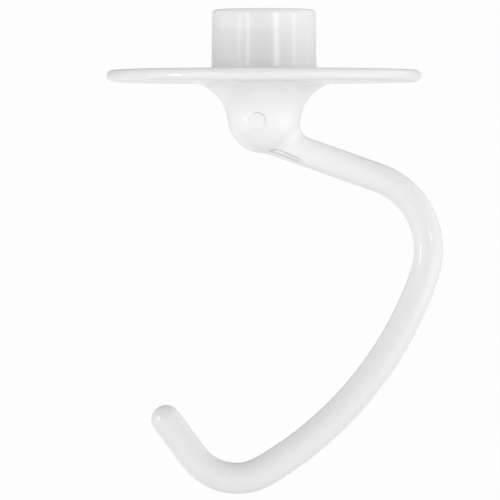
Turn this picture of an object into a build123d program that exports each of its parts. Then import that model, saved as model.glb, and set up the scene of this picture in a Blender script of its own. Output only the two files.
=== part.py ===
from build123d import *
import os
from math import radians, sqrt, tan

# Dough hook for a stand mixer: one casting with a baked coating, in millimetres.
# The origin is the centre of the shaft bore's mouth, on top of the hub. +Z is up along
# the mixer's shaft. The hook lies in the XZ plane, and its first bend points along +X.

# Hub
hub_diameter = 29.4
hub_height = 17.1
hub_draft_angle = 0.7
hub_rim_radius = 1.3
hub_foot_radius = 0.8

# Bore for the mixer's shaft
shaft_diameter = 12.7
shaft_clearance = 0.15
bore_depth = 26.0

# Slot for the shaft's drive pin: down from the mouth, round the hub, up into a seat whose
# sides rise straight above the turn before they round over
pin_diameter = 4.8
pin_clearance = 0.4
pin_depth = 11.0
pin_turn_angle = 70.0
pin_seat_rise = 0.6
entry_angle = 160.0
slot_edge_radius = 0.5

# Shield that keeps dough off the mixer's head
shield_diameter = 89.0
shield_thickness = 3.4
shield_rim_radius = 1.6

# Neck under the shield: a cove that runs into a ball-shaped boss
boss_radius = 10.4
boss_stand = 9.8
cove_radius = 12.0

# Flat pad left by the ejector pin on the front of the boss
pad_diameter = 4.7
pad_drop = 1.1
pad_offset = -1.8
pad_reach = 9.95

# Arm: a round rod, a straight root and three tangent arcs, thickest at the toe. Its axis
# starts below the boss's centre, with the rod's underside a little inside the ball's.
arm_root_inset = 0.4
arm_slope_angle = 19.4
root_length = 34.1
bend_radius = 21.7
bend_angle = 89.1
flank_radius = 102.2
flank_angle = 41.3
toe_radius = 15.4
toe_angle = 83.8
tip_length = 12.9
root_diameter = 8.2
toe_diameter = 9.05
tip_diameter = 8.4
root_fillet = 4.0

# Ridge left by the trimmed gate, low on the front of the arm's root: a round bead, part
# sunk in the rod, that runs out into it away from the boss
ridge_radius = 0.6
ridge_length = 13.3
ridge_start_angle = 32.0
ridge_end_angle = 45.5
ridge_start_depth = 0.16
ridge_end_depth = 0.65

# Levels and radii that follow from the sizes above
hub_top_radius = hub_diameter / 2
hub_foot_reach = hub_top_radius + hub_height * tan(radians(hub_draft_angle))
shield_top = -hub_height
shield_under = shield_top - shield_thickness
shield_radius = shield_diameter / 2
boss_centre = shield_under - boss_stand
bore_radius = shaft_diameter / 2 + shaft_clearance
slot_width = pin_diameter + 2 * pin_clearance
seat_angle = entry_angle - pin_turn_angle
seat_height = slot_width / 2 + pin_seat_rise
arm_start_z = boss_centre - (boss_radius - arm_root_inset - root_diameter / 2)

# Rounds may take up to a set share of the wall that they lie on
round_share = 0.48
slot_floor = hub_height - hub_foot_radius - pin_depth - slot_width / 2
rim_radius = min(shield_rim_radius, round_share * shield_thickness)
slot_radius = min(slot_edge_radius, round_share * slot_floor)

# The cove's arc touches the shield's underside and the boss's ball
cove_centre_z = shield_under - cove_radius
centre_distance = boss_radius + cove_radius
cove_centre_x = sqrt(centre_distance**2 - (cove_centre_z - boss_centre) ** 2)
cove_end_x = cove_centre_x * boss_radius / centre_distance
cove_end_z = boss_centre + (cove_centre_z - boss_centre) * boss_radius / centre_distance

# Lower part of the boss's ball, cut where the cove runs into it. Its poles are turned
# to the side away from the arm.
with BuildPart() as ball:
    with Locations((0, 0, boss_centre)):
        Sphere(boss_radius, rotation=(0, 225, 0))
    split(bisect_by=Plane.XY.offset(cove_end_z), keep=Keep.BOTTOM)

# Space that the drive pin passes through in the hub's wall: entry, turn and seat
with BuildPart() as pin_slot:
    with BuildSketch(Plane.YZ.rotated((0, 0, entry_angle))):
        Rectangle(slot_width, 2 * pin_depth)
        with Locations((0, -pin_depth)):
            Circle(slot_width / 2)
    extrude(amount=hub_foot_reach)
    with BuildSketch(Plane.XZ.rotated((0, 0, seat_angle))):
        with Locations((0, -pin_depth)):
            Rectangle(hub_foot_reach, slot_width, align=(Align.MIN, Align.CENTER))
    revolve(axis=Axis.Z, revolution_arc=pin_turn_angle)
    with BuildSketch(Plane.YZ.rotated((0, 0, seat_angle))):
        with Locations((0, seat_height / 2 - pin_depth)):
            SlotCenterToCenter(seat_height, slot_width, rotation=90)
    extrude(amount=hub_foot_reach)

with BuildPart() as hook:
    # Hub, shield and cove, turned about the shaft from a profile on the side away from the arm
    with BuildSketch(Plane.XZ.rotated((0, 0, 180))):
        with BuildLine():
            outside = FilletPolyline(
                (0, 0),
                (hub_top_radius, 0),
                (hub_foot_reach, shield_top),
                (shield_radius, shield_top),
                (shield_radius, shield_under),
                (cove_centre_x, shield_under),
                radius=[hub_rim_radius, hub_foot_radius, rim_radius, rim_radius],
            )
            cove = TangentArc(outside @ 1, (cove_end_x, cove_end_z), tangent=outside % 1)
            Polyline(cove @ 1, (0, cove_end_z), outside @ 0)
        make_face()
    revolve(axis=Axis.Z)
    add(ball.part)

    # Arm's straight root, with the fillet that blends it into the boss
    with BuildLine(Plane.XZ):
        root = PolarLine((0, arm_start_z), root_length, -arm_slope_angle)
        bend = JernArc(root @ 1, root % 1, bend_radius, -bend_angle)
        flank = JernArc(bend @ 1, bend % 1, flank_radius, -flank_angle)
        toe = JernArc(flank @ 1, flank % 1, toe_radius, -toe_angle)
        tip = PolarLine(toe @ 1, tip_length, direction=toe % 1)
    with BuildSketch(Plane(root @ 0, z_dir=root % 0)):
        Circle(root_diameter / 2)
    extrude(amount=root_length)
    fillet(hook.edges(Select.NEW), root_fillet)

    # Gate ridge, placed around the rod by angles from its front towards its underside
    arm_section = Plane(root @ 0, x_dir=(0, -1, 0), z_dir=root % 0)
    ridge_start = Vector(root_diameter / 2 - ridge_start_depth, 0, 0).rotate(Axis.Z, ridge_start_angle)
    ridge_end = Vector(root_diameter / 2 - ridge_end_depth, 0, ridge_length).rotate(Axis.Z, ridge_end_angle)
    with BuildLine():
        ridge = Line(arm_section.from_local_coords(ridge_start), arm_section.from_local_coords(ridge_end))
    with BuildSketch(Plane(ridge @ 0, z_dir=ridge % 0)):
        Circle(ridge_radius)
    extrude(amount=ridge.length)

    # First bend, of the root's thickness
    with BuildSketch(Plane(bend @ 0, z_dir=bend % 0)):
        Circle(root_diameter / 2)
    revolve(axis=Axis(bend.arc_center, (0, 1, 0)), revolution_arc=bend_angle)

    # Flank, toe and tip, each tapering evenly along its length, with a domed end
    for stretch, start_diameter, end_diameter in (
        (flank, root_diameter, toe_diameter),
        (toe, toe_diameter, tip_diameter),
        (tip, tip_diameter, tip_diameter),
    ):
        with BuildSketch(Plane(stretch @ 0, z_dir=stretch % 0)):
            Circle(start_diameter / 2)
        with BuildSketch(Plane(stretch @ 1, z_dir=stretch % 1)):
            Circle(end_diameter / 2)
        sweep(path=stretch, multisection=True)
    with Locations(tip @ 1):
        Sphere(tip_diameter / 2)

    # Ejector pad, proud of the round boss on one side and sunk into it on the other
    with BuildSketch(Plane.XZ.offset(pad_reach)) as pad:
        with Locations((pad_offset, boss_centre - pad_drop)):
            Circle(pad_diameter / 2)
    extrude(pad.sketch, amount=-pad_reach / 2)
    extrude(pad.sketch, amount=pad_reach / 2, mode=Mode.SUBTRACT)

    # Drive pin's slot with soft edges, then the blind bore that it opens into
    add(pin_slot.part, mode=Mode.SUBTRACT)
    fillet(hook.edges(Select.NEW), slot_radius)
    Hole(bore_radius, bore_depth)

hook.part.label = "dough_hook"
os.makedirs("parts", exist_ok=True)
export_step(hook.part, "parts/dough_hook.step")
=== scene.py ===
import math

import bpy
import numpy as np
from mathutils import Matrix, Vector

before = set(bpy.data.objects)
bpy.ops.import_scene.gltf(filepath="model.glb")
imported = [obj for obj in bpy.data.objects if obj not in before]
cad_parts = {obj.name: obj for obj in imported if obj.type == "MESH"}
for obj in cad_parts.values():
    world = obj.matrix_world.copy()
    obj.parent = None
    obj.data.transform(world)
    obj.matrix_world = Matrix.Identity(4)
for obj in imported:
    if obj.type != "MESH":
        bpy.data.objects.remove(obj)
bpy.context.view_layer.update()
scene = bpy.context.scene
print("frame loaded", sorted(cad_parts))


def addNode(tree, kind, inputs=(), **settings):
    # makes one node; each input is given a constant or linked to another node's socket
    node = tree.nodes.new("ShaderNode" + kind)
    for setting, value in settings.items():
        setattr(node, setting, value)
    for socket, value in dict(inputs).items():
        if isinstance(value, bpy.types.NodeSocket):
            tree.links.new(value, node.inputs[socket])
        else:
            node.inputs[socket].default_value = value
    return node


def math2(tree, operation, first, second=0.0):
    # one step of arithmetic on two sockets or numbers
    return addNode(tree, "Math", {0: first, 1: second}, operation=operation).outputs[0]


def mixColour(tree, share, first, second):
    # first * (1 - share) + second * share
    return addNode(tree, "MixRGB", {"Fac": share, "Color1": first, "Color2": second}).outputs[0]


def mapRange(tree, value, start, end):
    # 0 at start, 1 at end and straight between them; start may be the larger
    return addNode(tree, "MapRange", {"Value": value, "From Min": start, "From Max": end}).outputs["Result"]


def makeMaterial(name):
    material = bpy.data.materials.new(name)
    material.use_nodes = True
    return material, material.node_tree, material.node_tree.nodes["Principled BSDF"]


def addAimed(name, data, place, aim):
    # puts a camera or lamp in the scene, with its view or beam turned to the aim
    piece = bpy.data.objects.new(name, data)
    piece.location = place
    piece.rotation_mode = "QUATERNION"
    piece.rotation_quaternion = (Vector(aim) - piece.location).to_track_quat("-Z", "Y")
    scene.collection.objects.link(piece)
    return piece


# Camera: a long lens a little below the shield, aimed at the middle of the hook
photoView = {
    "place": (-0.00034, -1.27053, -0.03875),
    "aim": (-0.00396, 0.0, -0.06807),
    "lens": 322.9,
}
cameraData = bpy.data.cameras.new("photoCamera")
cameraData.lens = photoView["lens"]
cameraData.sensor_width = 36.0
cameraData.clip_start, cameraData.clip_end = 0.01, 50.0
scene.camera = addAimed("photoCamera", cameraData, photoView["place"], photoView["aim"])
print("camera set")

# White coating: glossy, with the faint orange peel of a baked finish, a few pinholes and painted shade in the
# creases
coating = {
    "thick": (0.89, 0.89, 0.89, 1),
    "thin": (0.87, 0.87, 0.87, 1),
    "pinhole": (0.45, 0.45, 0.44, 1),
    "paintedShadeGrey": (0.6, 0.6, 0.6, 1),
    "paintedShadeReach": 0.0008,
    "paintedShadeRange": (0.4, 0.82),
    "roughness": (0.07, 0.10),
    "peelPerMetre": 380.0,
    "peelDepth": 0.0000008,
}
coatMaterial, coat, coatShader = makeMaterial("whiteCoating")
place = addNode(coat, "TexCoord").outputs["Object"]
drift = addNode(coat, "TexNoise", {"Vector": place, "Scale": 28.0, "Detail": 3.0}).outputs["Fac"]
body = mixColour(coat, drift, coating["thick"], coating["thin"])
# pinholes: a dot in the middle of about one cell in five
cells = addNode(coat, "TexVoronoi", {"Vector": place, "Scale": 85.0, "Randomness": 1.0})
lot = addNode(coat, "SeparateColor", {0: cells.outputs["Color"]}).outputs[0]
rare = math2(coat, "GREATER_THAN", lot, 0.8)
dot = math2(coat, "LESS_THAN", cells.outputs["Distance"], 0.016)
pitted = mixColour(coat, math2(coat, "MULTIPLY", rare, dot), body, coating["pinhole"])
# painted shade in creases: the colour turns greyer where nearby walls close the surface in, as round the pad
nearby = addNode(coat, "AmbientOcclusion", {"Distance": coating["paintedShadeReach"]}, samples=16, only_local=True)
unshadedShare = mapRange(coat, nearby.outputs["AO"], *coating["paintedShadeRange"])
creaseShaded = mixColour(coat, unshadedShare, coating["paintedShadeGrey"], pitted)

# Gate ridge: painted shade, a thin grey line along each foot of the bead, just past its radius from its axis
gate = {
    "start": (-0.0007, -0.0033, -0.0382),
    "end": (0.0117, -0.0024, -0.0429),
    "bead": 0.0006,
    "line": 0.0004,
    "fade": 0.003,
    "shadeGrey": (0.58, 0.58, 0.58, 1),
}
gateRun = Vector(gate["end"]) - Vector(gate["start"])
gateAxis = gateRun.normalized()
offset = addNode(coat, "VectorMath", {0: place, 1: gate["start"]}, operation="SUBTRACT").outputs[0]
along = addNode(coat, "VectorMath", {0: offset, 1: gateAxis}, operation="DOT_PRODUCT").outputs["Value"]
onAxis = addNode(coat, "VectorMath", {0: gateAxis, "Scale": along}, operation="SCALE").outputs[0]
fromAxis = addNode(coat, "VectorMath", {0: offset, 1: onAxis}, operation="DISTANCE").outputs["Value"]
fromLine = math2(coat, "ABSOLUTE", math2(coat, "SUBTRACT", fromAxis, gate["bead"] + gate["line"] / 2))
gateShadeProfile = mapRange(coat, fromLine, gate["line"] / 2, gate["line"] / 6)
runOut = mapRange(coat, along, gateRun.length, gateRun.length - gate["fade"])
started = math2(coat, "GREATER_THAN", along, 0.0)
gateShadeLine = math2(coat, "MULTIPLY", math2(coat, "MULTIPLY", gateShadeProfile, runOut), started)
# mixes the painted shade lines of the gate ridge into the coating's colour
gateShaded = mixColour(coat, gateShadeLine, creaseShaded, gate["shadeGrey"])
coat.links.new(gateShaded, coatShader.inputs["Base Color"])

# Gloss, which drifts with the tone, and the orange peel
glossiest, dullest = coating["roughness"]
sheen = addNode(coat, "MapRange", {"Value": drift, "To Min": glossiest, "To Max": dullest}).outputs["Result"]
coat.links.new(sheen, coatShader.inputs["Roughness"])
peel = addNode(coat, "TexNoise", {"Vector": place, "Scale": coating["peelPerMetre"], "Detail": 1.0})
bump = addNode(coat, "Bump", {"Height": peel.outputs["Fac"], "Distance": coating["peelDepth"], "Strength": 1.0})
coat.links.new(bump.outputs["Normal"], coatShader.inputs["Normal"])
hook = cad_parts["dough_hook"]
hook.data.materials.clear()
hook.data.materials.append(coatMaterial)
print("coating done")

# Studio light: soft panels around the hook, as patches of the world. Azimuth 0 is towards the
# camera and positive to the right; angles in degrees, levels as brightness against white.
studio = {
    "ambient": 0.20,
    "background": 0.982,
    "panels": {
        "keyLeft": {"azimuth": -46, "elevation": -8, "wide": 24, "tall": 20, "level": 1.34},
        "keyRight": {"azimuth": 45, "elevation": -8, "wide": 24, "tall": 20, "level": 1.13},
        "front": {"azimuth": 0, "elevation": -8, "wide": 24, "tall": 20, "level": 0.22},
        "sideLeft": {"azimuth": -90, "elevation": -8, "wide": 26, "tall": 20, "level": 0.9},
        "sideRight": {"azimuth": 86, "elevation": -8, "wide": 26, "tall": 20, "level": 1.1},
        "overLeft": {"azimuth": -120, "elevation": 28, "wide": 26, "tall": 16, "level": 0.4},
        "overRight": {"azimuth": 120, "elevation": 28, "wide": 26, "tall": 16, "level": 0.9},
        "backdrop": {"azimuth": 180, "elevation": -8, "wide": 28, "tall": 14, "level": 0.7},
        "underLeft": {"azimuth": -150, "elevation": -34, "wide": 18, "tall": 12, "level": 0.8},
        "underRight": {"azimuth": 150, "elevation": -30, "wide": 15, "tall": 10, "level": 0.4},
        "ceiling": {"azimuth": 0, "elevation": 90, "wide": 400, "tall": 20, "level": 1.0},
        "table": {"azimuth": 0, "elevation": -90, "wide": 400, "tall": 25, "level": 0.42},
        "neckRight": {"azimuth": 67, "elevation": -15, "wide": 10, "tall": 8, "level": 0.8},
        "stripeFar": {"azimuth": -56, "elevation": 3, "wide": 2.5, "tall": 1.3, "level": 1.6},
        "stripeLeft": {"azimuth": -36, "elevation": 3, "wide": 2.2, "tall": 1.3, "level": 3},
        "stripeRight": {"azimuth": 27, "elevation": 3, "wide": 5, "tall": 1.3, "level": 4.5},
        "stripeSide": {"azimuth": 70, "elevation": 3, "wide": 2.2, "tall": 1.3, "level": 2.5},
    },
}
group = bpy.data.node_groups.new("softPanel", "ShaderNodeTree")
for socketName in ("Azimuth", "Elevation", "Wide", "Tall", "Level"):
    group.interface.new_socket(socketName, in_out="INPUT", socket_type="NodeSocketFloat")
group.interface.new_socket("Light", in_out="OUTPUT", socket_type="NodeSocketFloat")
given = group.nodes.new("NodeGroupInput").outputs
# level * exp(-(u^2 + v^2) / 2), u and v being the angles from the panel's middle over its size
ray = addNode(group, "SeparateXYZ", {0: addNode(group, "TexCoord").outputs["Generated"]}).outputs
turn = math2(group, "ARCTAN2", ray["X"], math2(group, "MULTIPLY", ray["Y"], -1.0))
rise = math2(group, "ARCSINE", ray["Z"])
turnPast = math2(group, "SUBTRACT", turn, given["Azimuth"])
shortTurn = addNode(group, "Math", {0: turnPast, 1: -math.pi, 2: math.pi}, operation="WRAP").outputs[0]
aside = math2(group, "MULTIPLY", shortTurn, math2(group, "COSINE", rise))
u = math2(group, "DIVIDE", aside, given["Wide"])
v = math2(group, "DIVIDE", math2(group, "SUBTRACT", rise, given["Elevation"]), given["Tall"])
spread = math2(group, "ADD", math2(group, "MULTIPLY", u, u), math2(group, "MULTIPLY", v, v))
bell = math2(group, "EXPONENT", math2(group, "MULTIPLY", spread, -0.5))
glow = math2(group, "MULTIPLY", bell, given["Level"])
group.links.new(glow, group.nodes.new("NodeGroupOutput").inputs["Light"])

# World: the ambient light and all panels together; the camera itself sees a plain background
world = bpy.data.worlds.new("studio")
world.use_nodes = True
sky = world.node_tree
total = studio["ambient"]
for panelName, sizes in studio["panels"].items():
    panel = sky.nodes.new("ShaderNodeGroup")
    panel.node_tree = group
    panel.label = panelName
    for size in ("azimuth", "elevation", "wide", "tall"):
        panel.inputs[size.capitalize()].default_value = math.radians(sizes[size])
    panel.inputs["Level"].default_value = sizes["level"]
    total = math2(sky, "ADD", panel.outputs["Light"], total)
light = sky.nodes["Background"]
light.inputs["Color"].default_value = (1, 1, 1, 1)
sky.links.new(total, light.inputs["Strength"])
plain = addNode(sky, "Background", {"Color": (1, 1, 1, 1), "Strength": studio["background"]})
seen = addNode(sky, "LightPath").outputs["Is Camera Ray"]
pick = addNode(sky, "MixShader", {0: seen, 1: light.outputs[0], 2: plain.outputs[0]})
sky.links.new(pick.outputs[0], sky.nodes["World Output"].inputs["Surface"])
scene.world = world
scene.view_settings.view_transform = "Standard"

# Fill lamp: lifts the neck, which the shield shades
fill = {"place": (-0.26, -0.9, -0.37), "aim": (0, 0, -0.028), "power": 3.4, "beam": 7, "radius": 0.03}
fillData = bpy.data.lights.new("neckFill", "SPOT")
fillData.energy = fill["power"]
fillData.spot_size = math.radians(fill["beam"])
fillData.spot_blend = 1.0
fillData.shadow_soft_size = fill["radius"]
fillLamp = addAimed("neckFill", fillData, fill["place"], fill["aim"])
fillLamp.visible_glossy = False

# Glint card: a small tall light on the left that only shows in the gloss, on bend, neck and tip
card = {"place": (-0.23, -0.122, -0.06), "aim": (0, 0, -0.06), "wide": 0.034, "tall": 0.08, "power": 0.08}
cardData = bpy.data.lights.new("glintCard", "AREA")
cardData.shape = "RECTANGLE"
cardData.size, cardData.size_y = card["wide"], card["tall"]
cardData.energy = card["power"]
cardLamp = addAimed("glintCard", cardData, card["place"], card["aim"])
cardLamp.visible_diffuse = False
cardLamp.visible_camera = False
print("studio light set")

# Floor: a pale round sheet well below the hook, which fades into the background at its edge
floor = {
    "height": -0.6,
    "radius": 5.0,
    "fade": (1.5, 4.5),
    "pale": (0.80, 0.80, 0.79, 1),
    "paler": (0.84, 0.84, 0.83, 1),
    "roughness": 0.8,
}
rings, spokes = 24, 96
ringRadii = np.linspace(0.02, 1.0, rings) * floor["radius"]
spokeAngles = np.linspace(0, 2 * np.pi, spokes, endpoint=False)
# rings of points: x = r cos(a), y = r sin(a), z = height
radius, angle = np.meshgrid(ringRadii, spokeAngles, indexing="ij")
height = np.full(radius.shape, floor["height"])
points = np.stack([radius * np.cos(angle), radius * np.sin(angle), height], axis=-1)
index = np.arange(rings * spokes).reshape(rings, spokes)
after = np.roll(index, -1, axis=1)
quads = np.stack([index[:-1], index[1:], after[1:], after[:-1]], axis=-1).reshape(-1, 4)
sheet = bpy.data.meshes.new("floor")
sheet.from_pydata(points.reshape(-1, 3).tolist(), [], quads.tolist() + [index[0].tolist()])
floorPiece = bpy.data.objects.new("floor", sheet)
scene.collection.objects.link(floorPiece)

floorMaterial, pale, floorShader = makeMaterial("paleFloor")
floorPlace = addNode(pale, "TexCoord").outputs["Object"]
grain = addNode(pale, "TexNoise", {"Vector": floorPlace, "Scale": 9.0, "Detail": 4.0}).outputs["Fac"]
pale.links.new(mixColour(pale, grain, floor["pale"], floor["paler"]), floorShader.inputs["Base Color"])
floorShader.inputs["Roughness"].default_value = floor["roughness"]
flat = addNode(pale, "VectorMath", {0: floorPlace, 1: (1, 1, 0)}, operation="MULTIPLY").outputs[0]
fromCentre = addNode(pale, "VectorMath", {0: flat}, operation="LENGTH").outputs["Value"]
fadeStart, fadeEnd = floor["fade"]
fadeInputs = {"Value": fromCentre, "From Min": fadeStart, "From Max": fadeEnd}
fade = addNode(pale, "MapRange", fadeInputs, interpolation_type="SMOOTHSTEP").outputs["Result"]
white = addNode(pale, "Emission", {"Strength": studio["background"]})
faded = addNode(pale, "MixShader", {0: fade, 1: floorShader.outputs[0], 2: white.outputs[0]})
fromBelow = addNode(pale, "NewGeometry").outputs["Backfacing"]
seeThrough = addNode(pale, "BsdfTransparent")
oneSided = addNode(pale, "MixShader", {0: fromBelow, 1: faded.outputs[0], 2: seeThrough.outputs[0]})
pale.links.new(oneSided.outputs[0], pale.nodes["Material Output"].inputs["Surface"])
sheet.materials.append(floorMaterial)
for rayKind in ("diffuse", "glossy", "transmission", "shadow"):
    setattr(floorPiece, "visible_" + rayKind, False)  # the panels below the floor still light the hook
print("floor done")
